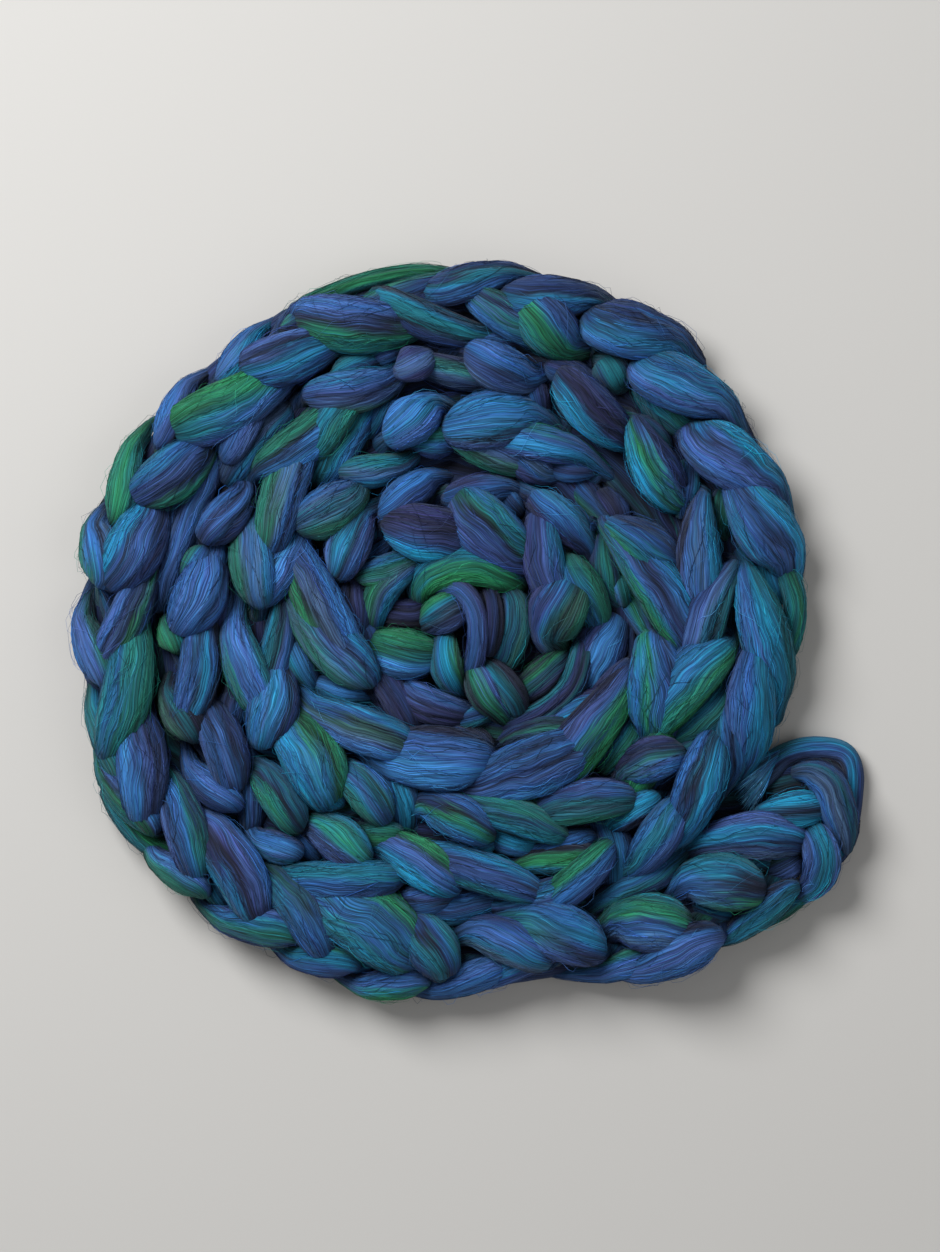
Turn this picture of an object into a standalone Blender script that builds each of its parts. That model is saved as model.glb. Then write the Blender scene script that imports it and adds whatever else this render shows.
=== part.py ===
# Combed wool roving, worked hand over hand into one loose slip-loop chain
# and coiled flat on its side of rest, the way a length of combed top is put up.
#
# One strand makes the whole chain.  Each stitch is a loop: the strand comes up
# through the loop before it, runs out along the inner leg, turns behind the
# next stitch, comes back along the outer leg, goes down again at the tip and
# runs on under the chain.  The chain starts at the outer end, lower right, and
# winds clockwise to the middle of the coil.
#
# Metres, +Z up.  The coil lies flat on z = 0, with the origin under the middle
# of its outline.

import math
import bpy
import bmesh
from mathutils import Vector

# ---- sizes ---------------------------------------------------------------

UNIT = 0.00042            # one plan unit, m
CENTRE = (467.0, 629.8)   # plan point that lies over the origin

Z_BACK = 0.0060           # strand running on under the chain
Z_ENTRY = 0.0110          # where it starts up through the loop before
Z_TIP = 0.0170            # tip of the V
Z_TOP = 0.0360            # highest wool of a leg
Z_HEAD = 0.0130           # turn behind the next stitch

REACH = 1.42              # length of a leg, in stitches
HEAD_AT = 0.34            # how far past the next tip the loop turns
SLIM = 0.62               # strand width where it is nipped, against its leg

CORE_LARGEST = 0.0120     # radius of the wool that fills the chain
CORE_SHARE = 0.62
CORE_OFFSET = 0.55
CORE_SUNK = 0.86          # its centre height, in radii, before it is pressed flat

VOXEL = 0.0032
FACES_KEPT = 7700

END_DIAMETER = 0.0095     # the free end of the strand
END_GAP = 0.0004

# ---- the coil: one row for each run of stitches -----------------------------
# stitch   number of the stitch, counted from the outer end
# x, y     tip of that stitch on the plan, x to the right and y down
# inner    how far the legs stand to the inner side of the line of tips
# outer    and to the outer side

SECTION_COLUMNS = ("stitch", "x", "y", "inner", "outer")
SECTIONS = (
    (0, 678, 846, 40, 26),
    (1, 762, 824, 36, 26),
    (2, 816, 806, 28, 34),
    (3, 832, 862, 26, 26),
    (4, 776, 892, 42, 32),
    (6, 612, 950, 52, 26),
    (8, 488, 962, 54, 32),
    (10, 342, 955, 62, 24),
    (12, 206, 872, 56, 38),
    (14, 122, 760, 48, 38),
    (16, 114, 608, 50, 36),
    (18, 172, 445, 52, 30),
    (20, 292, 326, 50, 32),
    (22, 452, 300, 44, 34),
    (24, 590, 330, 48, 38),
    (26, 688, 425, 46, 50),
    (28, 738, 562, 44, 58),
    (30, 722, 700, 28, 46),
    (32, 668, 797, 36, 40),
    (34, 558, 880, 44, 36),
    (36, 378, 862, 46, 38),
    (38, 245, 792, 44, 38),
    (40, 182, 645, 42, 30),
    (42, 242, 476, 44, 34),
    (44, 388, 368, 38, 32),
    (46, 547, 368, 46, 36),
    (48, 694, 488, 36, 42),
    (50, 726, 643, 50, 20),
    (52, 640, 785, 42, 26),
    (54, 490, 836, 44, 26),
    (56, 340, 796, 50, 28),
    (58, 266, 692, 36, 40),
    (60, 284, 540, 40, 36),
    (62, 388, 446, 30, 42),
    (64, 508, 450, 32, 42),
    (66, 608, 532, 32, 46),
    (68, 626, 688, 38, 44),
    (70, 490, 752, 36, 42),
    (72, 368, 690, 44, 46),
    (74, 346, 572, 48, 42),
    (76, 446, 496, 44, 30),
    (78, 568, 560, 46, 36),
    (80, 520, 690, 44, 38),
    (82, 420, 640, 42, 48),
    (84, 470, 570, 40, 42),
    (85, 500, 610, 26, 30),
)

# ---- the free end: one row for each bend ------------------------------------

END_COLUMNS = ("x", "y", "z")
END_ROUTE = (
    (853, 830, 0.0049),
    (856, 800, 0.0049),
    (856, 772, 0.0049),
    (845, 753, 0.0049),
    (814, 749, 0.0050),
    (788, 757, 0.0062),
    (768, 772, 0.0088),
    (750, 790, 0.0106),
)


# ---- helpers -------------------------------------------------------------

def plan(x, y, z=0.0):
    """A point of the plan in metres."""
    return Vector(((x - CENTRE[0]) * UNIT, (CENTRE[1] - y) * UNIT, z))


def rows(columns, table):
    return [dict(zip(columns, row)) for row in table]


def smooth(p0, p1, p2, p3, t):
    """Smooth curve from p1 to p2."""
    return 0.5 * ((2 * p1) + (p2 - p0) * t + (2 * p0 - 5 * p1 + 4 * p2 - p3) * t * t
                  + (3 * p1 - p0 - 3 * p2 + p3) * t ** 3)


def along(values, t):
    """Value at fractional index t of a list, on a smooth curve."""
    last = len(values) - 1
    t = min(max(t, 0.0), last)
    i = min(int(t), last - 1)
    return smooth(values[max(i - 1, 0)], values[i], values[i + 1],
                  values[min(i + 2, last)], t - i)


class Coil:
    """The line of tips and the widths of the chain at any stitch."""

    def __init__(self, sections):
        self.at = [s["stitch"] for s in sections]
        self.tip = [plan(s["x"], s["y"]) for s in sections]
        self.inner = [s["inner"] * UNIT for s in sections]
        self.outer = [s["outer"] * UNIT for s in sections]

    def index(self, stitch):
        for k in range(len(self.at) - 1):
            if stitch <= self.at[k + 1]:
                return k + (stitch - self.at[k]) / (self.at[k + 1] - self.at[k])
        return float(len(self.at) - 1)

    def point(self, stitch):
        return along(self.tip, self.index(stitch))

    def widths(self, stitch):
        k = self.index(stitch)
        return along(self.inner, k), along(self.outer, k)

    def heading(self, stitch):
        """Direction along the chain and towards its inner side."""
        last = self.at[-1]
        ahead = self.point(min(stitch + 0.25, last)) - self.point(max(stitch - 0.25, 0))
        ahead.normalize()
        return ahead, Vector((ahead.y, -ahead.x, 0.0))


def stitch_route(coil, n):
    """Centre line and radius of the strand through stitch n."""
    tip, following = coil.point(n), coil.point(n + 1)
    pitch = (following - tip).length
    ahead, inward = coil.heading(n)
    ahead_next, inward_next = coil.heading(min(n + REACH, coil.at[-1]))
    w_in, w_out = coil.widths(n + 0.5)
    out = []

    def leg(side, width, part):
        """Point of a leg: part 0 at the tip, 1 at the shoulder."""
        turn = ahead.lerp(ahead_next, part * 0.6).normalized()
        across = Vector((turn.y, -turn.x, 0.0)) * side
        spread = (0.16 + 0.52 * math.sin(part * math.pi * 0.5)) * width
        return tip.lerp(coil.point(min(n + REACH * part, coil.at[-1])), 1.0) + across * spread

    r_in, r_out = w_in * 0.46, w_out * 0.46
    # part of the leg, share of the rise from tip to crest, swell of the strand
    arch = ((0.02, 0.0, 0.68), (0.20, 0.72, 0.92), (0.45, 1.0, 1.0),
            (0.74, 0.74, 0.92), (1.0, -0.05, 0.66))

    entry = tip - ahead * pitch * 0.12
    out.append((entry + inward * w_in * 0.10 + Vector((0, 0, Z_ENTRY)), r_in * SLIM))
    for part, rise, swell in arch:
        z = Z_TIP + (Z_TOP - r_in - Z_TIP) * rise
        out.append((leg(1.0, w_in, part) + Vector((0, 0, z)), r_in * swell))
    turn_at = min(n + 1 + HEAD_AT, coil.at[-1])
    head = coil.point(turn_at)
    out.append((head + inward_next * w_in * 0.40 + Vector((0, 0, Z_HEAD)), r_in * SLIM))
    out.append((head + ahead_next * pitch * 0.06 + Vector((0, 0, Z_HEAD)), (r_in + r_out) * 0.5 * SLIM))
    out.append((head - inward_next * w_out * 0.40 + Vector((0, 0, Z_HEAD)), r_out * SLIM))
    for part, rise, swell in reversed(arch):
        z = Z_TIP + (Z_TOP - r_out - Z_TIP) * rise
        out.append((leg(-1.0, w_out, part) + Vector((0, 0, z)), r_out * swell))
    out.append((entry - inward * w_out * 0.10 + Vector((0, 0, Z_ENTRY)), r_out * SLIM))
    out.append((tip.lerp(following, 0.45) + Vector((0, 0, Z_BACK)), 0.5 * (r_in + r_out) * 0.8))
    return out


def curve_object(name, points, depth, radii, resolution, collection):
    curve = bpy.data.curves.new(name, "CURVE")
    curve.dimensions = "3D"
    curve.bevel_depth = depth
    curve.bevel_resolution = resolution
    curve.use_fill_caps = True
    spline = curve.splines.new("POLY")
    spline.points.add(len(points) - 1)
    for point, where, radius in zip(spline.points, points, radii):
        point.co = (where.x, where.y, where.z, 1.0)
        point.radius = radius / depth
    obj = bpy.data.objects.new(name, curve)
    collection.objects.link(obj)
    return obj


def as_mesh(obj, collection):
    """A mesh object in place of a curve, with its caps welded on."""
    bpy.context.view_layer.update()
    seen = obj.evaluated_get(bpy.context.evaluated_depsgraph_get())
    mesh = bpy.data.meshes.new_from_object(seen)
    work = bmesh.new()
    work.from_mesh(mesh)
    bmesh.ops.remove_doubles(work, verts=work.verts, dist=0.00001)
    bmesh.ops.recalc_face_normals(work, faces=work.faces)
    work.to_mesh(mesh)
    work.free()
    name = obj.name
    made = bpy.data.objects.new(name + "_mesh", mesh)
    made.matrix_world = obj.matrix_world
    bpy.data.objects.remove(obj)
    collection.objects.link(made)
    made.name = name
    return made


def settled(obj):
    """Modifiers worked into the mesh."""
    bpy.context.view_layer.update()
    seen = obj.evaluated_get(bpy.context.evaluated_depsgraph_get())
    mesh = bpy.data.meshes.new_from_object(seen)
    obj.modifiers.clear()
    obj.data = mesh


def keep_outer_shell(obj):
    """Only the largest shell stays, so no pocket is sealed inside."""
    work = bmesh.new()
    work.from_mesh(obj.data)
    seen, shells = set(), []
    for start in work.faces:
        if start in seen:
            continue
        shell, queue = [], [start]
        seen.add(start)
        while queue:
            face = queue.pop()
            shell.append(face)
            for edge in face.edges:
                for near in edge.link_faces:
                    if near not in seen:
                        seen.add(near)
                        queue.append(near)
        shells.append(shell)
    shells.sort(key=len, reverse=True)
    loose = [face for shell in shells[1:] for face in shell]
    bmesh.ops.delete(work, geom=loose, context="FACES")
    bmesh.ops.delete(work, geom=[v for v in work.verts if not v.link_faces], context="VERTS")
    bmesh.ops.triangulate(work, faces=work.faces)
    work.to_mesh(obj.data)
    work.free()


def wool(name, colour):
    material = bpy.data.materials.new(name)
    material.use_nodes = True
    shader = material.node_tree.nodes["Principled BSDF"]
    shader.inputs["Base Color"].default_value = (*colour, 1.0)
    shader.inputs["Roughness"].default_value = 0.85
    shader.inputs["Metallic"].default_value = 0.0
    return material


# ---- model ---------------------------------------------------------------

for old in list(bpy.data.objects):
    bpy.data.objects.remove(old)

parts = bpy.data.collections.new("wool_roving")
guides = bpy.data.collections.new("cutters")
for collection in (parts, guides):
    bpy.context.scene.collection.children.link(collection)

coil = Coil(rows(SECTION_COLUMNS, SECTIONS))
stitches = coil.at[-1]

# the strand of the chain, stitch after stitch
route = []
for n in range(stitches):
    route.extend(stitch_route(coil, n))
fine_points, fine_radii = [], []
centres = [p for p, r in route]
widths = [r for p, r in route]
for k in range((len(route) - 1) * 2 + 1):
    fine_points.append(along(centres, k / 2))
    fine_radii.append(max(along(widths, k / 2), 0.003))
strand = as_mesh(curve_object("strand", fine_points, 0.01, fine_radii, 2, guides), guides)

# the wool that fills the middle of the chain under each row of legs
cores = []
for side in (1.0, -1.0):
    core_points, core_radii = [], []
    for k in range(stitches * 4 + 1):
        at = k / 4
        width = coil.widths(at)[0 if side > 0 else 1]
        ahead, inward = coil.heading(at)
        radius = min(width * CORE_SHARE, CORE_LARGEST)
        core_points.append(coil.point(at) + inward * side * width * CORE_OFFSET
                           + Vector((0, 0, radius * CORE_SUNK)))
        core_radii.append(radius)
    cores.append(as_mesh(curve_object("core", core_points, 0.01, core_radii, 2, guides), guides))

# both are felted into one body
whole = bmesh.new()
for guide in [strand] + cores:
    whole.from_mesh(guide.data)
mesh = bpy.data.meshes.new("roving_coil")
whole.to_mesh(mesh)
whole.free()
for guide in [strand] + cores:
    bpy.data.objects.remove(guide)
body = bpy.data.objects.new("roving_coil", mesh)
parts.objects.link(body)

felt = body.modifiers.new("felt", "REMESH")
felt.mode = "VOXEL"
felt.voxel_size = VOXEL
settled(body)
keep_outer_shell(body)
thin = body.modifiers.new("thin", "DECIMATE")
thin.ratio = min(1.0, FACES_KEPT / len(body.data.polygons))
settled(body)

# free end of the strand, lying beside the head of the chain
end_rows = rows(END_COLUMNS, END_ROUTE)
bends = [plan(r["x"], r["y"], r["z"]) for r in end_rows]
end_points = [along(bends, k / 2) for k in range((len(bends) - 1) * 2 + 1)]
loose = as_mesh(curve_object("loose_end", end_points, END_DIAMETER / 2,
                             [END_DIAMETER / 2] * len(end_points), 2, parts), parts)

# room for it in the side of the coil
room = as_mesh(curve_object("room_for_end", end_points, END_DIAMETER / 2 + END_GAP,
                            [END_DIAMETER / 2 + END_GAP] * len(end_points), 2, guides), guides)

# the rest side, pressed flat
bpy.ops.mesh.primitive_cube_add(size=1.0)
press = bpy.context.object
press.name = "press"
for other in list(press.users_collection):
    other.objects.unlink(press)
guides.objects.link(press)
press.scale = (0.6, 0.6, 0.04)
press.location = (0.0, 0.0, -0.02)

for cutter in (press, room):
    cutter.hide_render = True
    cutter.display_type = "WIRE"
    cut = body.modifiers.new(cutter.name, "BOOLEAN")
    cut.operation = "DIFFERENCE"
    cut.solver = "EXACT"
    cut.object = cutter
settled(body)
keep_outer_shell(body)

body.data.materials.clear()
body.data.materials.append(wool("dyed_wool", (0.035, 0.10, 0.24)))
loose.data.materials.clear()
loose.data.materials.append(wool("dyed_wool_end", (0.04, 0.17, 0.33)))
for obj in (body, loose):
    obj.data.shade_smooth()
    obj.data.set_sharp_from_angle(angle=math.radians(60))
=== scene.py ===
# Looks of the chained and coiled wool roving: the one strand of the chain,
# stitch by stitch, its free end, and the stray fibres on it.
#
# Plan positions are in a frame of 940 x 1252 units of 0.42 mm (x right, y down); heights
# are in millimetres above the surface it rests on.

import math

import bpy
import numpy as np
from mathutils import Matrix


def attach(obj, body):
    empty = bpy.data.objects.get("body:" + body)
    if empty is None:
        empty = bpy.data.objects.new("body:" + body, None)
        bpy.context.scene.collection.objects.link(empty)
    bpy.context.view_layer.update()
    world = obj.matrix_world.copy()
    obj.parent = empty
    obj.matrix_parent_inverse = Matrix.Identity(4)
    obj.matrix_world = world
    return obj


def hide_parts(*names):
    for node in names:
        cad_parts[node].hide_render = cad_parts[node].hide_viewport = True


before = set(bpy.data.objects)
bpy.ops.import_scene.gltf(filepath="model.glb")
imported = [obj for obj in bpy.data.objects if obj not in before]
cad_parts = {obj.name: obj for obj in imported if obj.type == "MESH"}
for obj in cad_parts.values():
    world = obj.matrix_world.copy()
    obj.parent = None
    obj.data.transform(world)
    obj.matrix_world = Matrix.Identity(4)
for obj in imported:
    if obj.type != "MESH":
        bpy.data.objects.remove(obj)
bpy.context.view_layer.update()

PX = 0.00042
CX, CY = 467.0, 629.8

# ---------------------------------------------------------------- colours

DYES = {                      # sRGB, the fibre colours of the blend
    "b": (40, 94, 156),       # blue
    "p": (60, 90, 152),       # periwinkle
    "s": (56, 124, 188),      # sky blue
    "t": (24, 112, 150),      # turquoise
    "c": (28, 140, 184),      # bright cyan
    "e": (22, 102, 116),      # teal
    "g": (30, 108, 94),       # green
    "G": (34, 124, 82),       # bright green
    "o": (46, 92, 80),        # olive green
    "k": (30, 34, 58),        # near-black plum
    "v": (48, 56, 104),       # violet
    "n": (30, 56, 106),       # navy
    "y": (66, 94, 128),       # grey blue
}


def linear(rgb):
    out = []
    for v in rgb:
        v = v / 255.0
        out.append(v / 12.92 if v <= 0.04045 else ((v + 0.055) / 1.055) ** 2.4)
    return np.array(out)


DYE = {k: linear(v) for k, v in DYES.items()}
NS = 96                       # samples across a strand


def stripes(text):
    """Colours across a strand, from a string of dye letters."""
    m = len(text)
    u = (np.arange(NS) + 0.5) / NS * m - 0.5
    i = np.clip(np.floor(u).astype(int), 0, m - 1)
    j = np.clip(i + 1, 0, m - 1)
    f = np.clip(u - i, 0, 1)
    f = (f * f * (3 - 2 * f))[:, None]
    table = np.array([DYE[c] for c in text])
    out = table[i] * (1 - f) + table[j] * f
    kernel = np.exp(-(np.arange(-12, 13) / 5.0) ** 2)
    kernel /= kernel.sum()
    wide = np.concatenate([out[:1].repeat(12, 0), out, out[-1:].repeat(12, 0)])
    return np.stack([np.convolve(wide[:, q], kernel, "valid") for q in range(3)], axis=1)


def furrows(text, seed):
    """Depth of the grooves between the strand's locks, 0 to 1."""
    rng = np.random.default_rng(seed)
    u = (np.arange(NS) + 0.5) / NS
    m = len(text)
    d = np.zeros(NS)
    for q, c in enumerate(text):
        if c == "k":
            d += 1.0 * np.exp(-((u - (q + 0.5) / m) / 0.055) ** 2)
    for q in range(4):
        at = rng.uniform(0.10, 0.90)
        d += rng.uniform(0.15, 0.6) * np.exp(-((u - at) / rng.uniform(0.02, 0.045)) ** 2)
    return np.clip(d, 0, 1.3)


# ---------------------------------------------------------------- stitches
# stitch | tip x y | inner leg: start x y, far end x y, width, dyes | outer leg
# Dyes run from the coil's outer side to its middle. "a>b" changes from a at
# the tip to b at the far end. A width in brackets is a leg that lies low.

STITCHES = """
1 | 772 893 | 759 887 668 883 54 Gnkkte>pnbsnte | 794 886 712 948 30 etebk
2 | 712 925 | 687 928 598 924 56 nybnnGge | 716 932 610 974 46 bppbk
3 | 612 955 | 600 951 484 917 53 pkbtb>bgebn | 708 937 567 980 30 bpbg
4 | 553 957 | 546 960 447 930 43 ytbpbn | 582 927 441 991 30 pbtpb
5 | 488 965 | 446 970 396 914 50 nteknbe | 512 964 407 995 27 bbpb
6 | 425 975 | 418 960 268 876 70 tgbnebngG | 426 980 342 985 30 Gtpbn
7 | 340 958 | 327 954 247 857 42 bnbkn>eekgn | 355 963 273 950 31 nbttg
8 | 275 918 | 260 919 173 797 48 tnkkvpb | 301 933 202 913 37 nggtbp
9 | 203 872 | 198 877 150 754 42 pkbbegn | 206 890 142 845 32 ggepbp
10 | 160 818 | 143 821 118 673 48 bsbkpkn | 156 828 94 750 36 eGkpsb
11 | 118 762 | 108 757 126 579 47 ebegeg | 127 782 88 685 32 egttb
12 | 107 680 | 93 675 151 508 38 pbkpkGn | 108 682 80 600 36 bppgk
13 | 113 600 | 111 586 158 478 55 tcbkpbpkn | 107 582 95 512 42 gbbkyb
14 | 130 510 | 138 497 216 424 50 tbnpnkg | 118 522 141 426 32 gGge
15 | 170 443 | 175 431 312 344 54 GGgeebp | 163 445 201 371 34 bpnk
16 | 222 381 | 247 370 361 315 50 pknttbn | 218 378 262 319 22 bptcb
17 | 292 328 | 302 318 448 316 54 pbpkkgGe | 283 325 345 290 18 gnkkn
18 | 378 298 | 378 297 526 338 36 kteekn | 347 319 482 274 28 gnnkpn
19 | 452 298 | 466 290 608 342 37 gpkpgebs | 430 294 536 272 36 nketnbn
20 | 520 293 | 525 300 585 357 52 npbgGge | 508 298 620 303 42 nnktbn
21 | 590 330 | 604 363 622 386 (40) neeen | 592 322 700 352 54 nkbntsb
22 | 635 368 | 642 364 705 439 (42) beegte | 640 368 746 424 54 tbntppb
23 | 690 430 | 701 428 750 499 (28) eGgen | 694 434 792 508 58 ctbkppbp
24 | 725 490 | 721 489 718 540 (24) eggn | 726 486 798 580 60 tcbkpbpt
25 | 740 560 | 736 559 724 640 (26) enen | 739 568 782 714 48 eetctbpbc
26 | 738 640 | 734 639 716 700 (26) nenb | 748 645 748 776 48 tctbnbp
27 | 722 700 | 732 704 704 780 (24) nvbn | 727 699 735 790 32 tbkbt
28 | 714 738 | 711 735 640 800 (26) nben | 713 737 662 863 46 tbctkkbb
29 | 668 796 | 656 796 600 836 30 kncccb | 678 804 621 886 40 pbeb
30 | 618 840 | 608 858 498 871 29 tgGGkk | 612 846 505 931 36 pbbGg
31 | 558 883 | 545 896 334 853 39 ebnpkbt | 596 881 468 912 31 kptn
32 | 450 893 | 454 887 362 835 44 ctbpkG | 450 898 390 898 30 bkpb
33 | 385 870 | 365 862 295 816 42 pkpeGegt | 399 878 250 873 43 nbbet
34 | 308 845 | 299 827 239 755 40 eGeknent | 298 854 244 834 31 tpsbn
35 | 243 790 | 235 789 187 683 42 pbkpbkn | 237 806 178 758 34 nbpb
36 | 198 715 | 184 729 194 573 40 bpbkcbk | 195 736 162 678 38 okekk
37 | 180 645 | 182 630 211 540 50 bpbpbn | 175 649 161 618 26 Gge
38 | 192 550 | 206 538 252 479 40 bpkpbkn | 196 548 176 585 20 gbn
39 | 240 476 | 258 471 373 371 42 ggkbsb | 226 460 271 378 34 bpbppp
40 | 305 396 | 309 396 415 368 43 tpbpkpo | 334 377 384 355 30 etnk
41 | 392 372 | 407 358 558 368 (29) voeyn | 402 369 434 355 36 vpypv
42 | 462 350 | 471 352 551 383 44 bpbbknpy | 461 346 530 338 (28) nbvn
43 | 547 368 | 561 375 647 452 46 nvkvknct | 549 364 610 395 (28) nvnb
44 | 632 420 | 634 420 697 516 46 nkpbGGtc | 635 417 672 455 (28) negn
45 | 692 488 | 702 493 720 656 45 ttbybpk | 700 486 712 538 (24) gge
46 | 725 567 | 734 563 691 698 43 ektypnn | 729 566 738 620 (28) nten
47 | 730 643 | 727 643 636 765 52 Ggetbtb | 734 643 722 720 (28) nben
48 | 683 742 | 679 752 612 782 42 bbvgnkv | 668 728 609 820 30 GGg
49 | 640 785 | 634 797 508 827 41 gekenbv | 642 789 590 815 (28) bntb
50 | 560 835 | 566 837 407 800 36 teengeg | 593 841 515 859 (24) pbb
51 | 490 838 | 489 834 404 801 42 btGknb | 492 842 430 862 (28) cbtn
52 | 400 828 | 386 818 326 759 40 getpbegb | 398 840 352 838 24 gGge
53 | 342 798 | 330 802 262 695 58 ctbebeoGg | 339 803 278 755 34 tcb
54 | 278 745 | 263 742 273 647 47 btpcskn | 232 690 226 744 (26) nknb
55 | 268 690 | 252 722 282 559 29 tekpb | 269 718 226 592 41 gbpbpbe
56 | 258 612 | 257 605 308 501 34 bspb | 259 603 249 500 42 ggybytb
57 | 276 545 | 302 525 368 477 48 byneyeog | 268 556 330 384 42 ggoybkb
58 | 322 474 | 340 474 423 458 27 gteybt | 310 455 378 359 40 veteeg
59 | 385 447 | 416 445 466 436 27 egebn | 392 436 446 398 46 bsbtbpb
60 | 450 430 | 445 422 560 468 36 vypyog | 449 427 557 414 55 btbbstkp
61 | 507 448 | 507 455 561 482 24 pybv | 485 436 610 462 36 gbpbscbp
62 | 568 478 | 591 524 591 524 28 btn | 609 522 690 587 48 nkbnbeeGg
63 | 608 532 | 603 533 618 610 (30) ngen | 605 521 713 687 50 tbsbkkpbeG
64 | 630 603 | 631 660 592 740 32 vpnpv | 650 633 661 760 63 bkpbbGGtb
65 | 628 680 | 625 690 515 750 30 bbcbv | 634 666 503 820 50 GGgnbpvk
66 | 580 740 | 608 730 490 742 32 pvgkn | 594 742 427 800 55 sbpknbkb
67 | 490 755 | 492 751 420 722 (28) kvnk | 487 760 348 749 62 bssbpbk
68 | 410 735 | 414 732 355 645 30 vknv | 414 747 281 693 44 spyokbt
69 | 368 692 | 373 691 352 610 (34) nknb | 370 682 282 571 52 gyepkbt
70 | 345 640 | 350 640 345 565 (34) nkvn | 361 680 279 505 46 Gkynbb
71 | 345 572 | 360 578 432 548 30 begyG | 339 573 371 498 42 pttkbv
72 | 385 522 | 388 524 500 534 54 vkkvbc | 384 515 444 469 36 bbnn
73 | 445 495 | 458 498 550 571 58 begknpvb | 446 498 527 486 32 vbnb
74 | 517 490 | 539 509 582 650 39 tnpvnv | 534 495 602 562 36 tsbnv
75 | 570 558 | 570 586 546 651 56 gokebnv | 565 558 608 645 36 ggebt
"""


def num(t):
    return float(t)


def parse(text):
    rows = {}
    for line in text.strip().splitlines():
        a, b, c, d = [s.strip() for s in line.split("|")]
        x, y = b.split()
        leg = []
        for s in (c, d):
            sx, sy, fx, fy, w, dyes = s.split()
            low = w.startswith("(")
            leg.append((num(fx), num(fy), num(w.strip("()")), low, dyes, num(sx), num(sy)))
        rows[int(a)] = (np.array([num(x), num(y)]), leg[0], leg[1])
    return rows


ROWS = parse(STITCHES)
FIRST, LAST = min(ROWS), max(ROWS)
TIPS = {n: ROWS[n][0] for n in ROWS}
TIPS[LAST + 1] = np.array([602.0, 640.0])
TIPS[FIRST - 1] = 2 * TIPS[FIRST] - TIPS[FIRST + 1]


def unit(v):
    v = np.asarray(v, float)
    return v / max(np.linalg.norm(v), 1e-9)


def heading(n):
    """Plan direction of the chain at a stitch, and its inner side."""
    lo, hi = max(n - 1, FIRST - 1), min(n + 1, LAST + 1)
    ahead = unit(TIPS[hi] - TIPS[lo])
    return ahead, np.array([-ahead[1], ahead[0]])


# ---------------------------------------------------------------- strand

UP = np.array([0.0, 0.0, 1.0])


def place(xy, z):
    return np.array([(xy[0] - CX) * PX, (CY - xy[1]) * PX, z * 0.001])


def flat(v):
    """Plan direction as a world direction."""
    return unit(np.array([v[0], -v[1], 0.0]))


LEG_S = (0.00, 0.07, 0.19, 0.37, 0.56, 0.75, 0.92, 1.08)
LEG_W = (0.44, 0.73, 0.95, 1.04, 0.95, 0.70, 0.48, 0.30)
LEG_W_SLIM = (0.30, 0.50, 0.75, 0.97, 1.02, 0.80, 0.50, 0.30)
LEG_Z = (0.36, 0.84, 1.00, 0.98, 0.78, 0.40, -0.05, -0.45)
LEG_SHADE_AND_LIGHT = (0.72, 0.94, 1.05, 1.10, 1.10, 1.00, 0.72, 0.50)    # painted shade at both ends, where a leg comes out from under and tucks under, painted light on its raised middle
LEG_W_TAPER = (0.62, 0.86, 1.00, 1.02, 0.88, 0.62, 0.42, 0.26)
TAPER = ((19, -1), (20, -1), (21, -1), (22, -1), (23, -1), (15, 1), (16, 1), (17, 1), (18, 1))
RIM_LAST = 26                 # outer legs up to this stitch make the coil's rim
SLIM = (24, 25, 26, 27, 44, 45, 46, 62, 63, 64, 65)      # drawn-out at the tip
Z_FOOT, Z_CREST = 13.5, 28.0
Z_HEAD, Z_ENTRY, Z_BACK = 11.0, 10.0, 6.5


class Route:
    """Stations along a strand."""

    def __init__(self):
        self.c, self.n, self.side = [], [], []
        self.hw, self.ht, self.sub = [], [], []
        self.col, self.fur, self.seen = [], [], []

    def add(self, c, n, side, hw, ht, col, fur, seen=1.0, sub=2):
        self.c.append(c)
        self.n.append(n)
        self.side.append(side)
        self.hw.append(hw * PX)
        self.ht.append(ht * PX)
        self.col.append(col)
        self.fur.append(fur)
        self.seen.append(seen)
        self.sub.append(sub)


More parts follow.
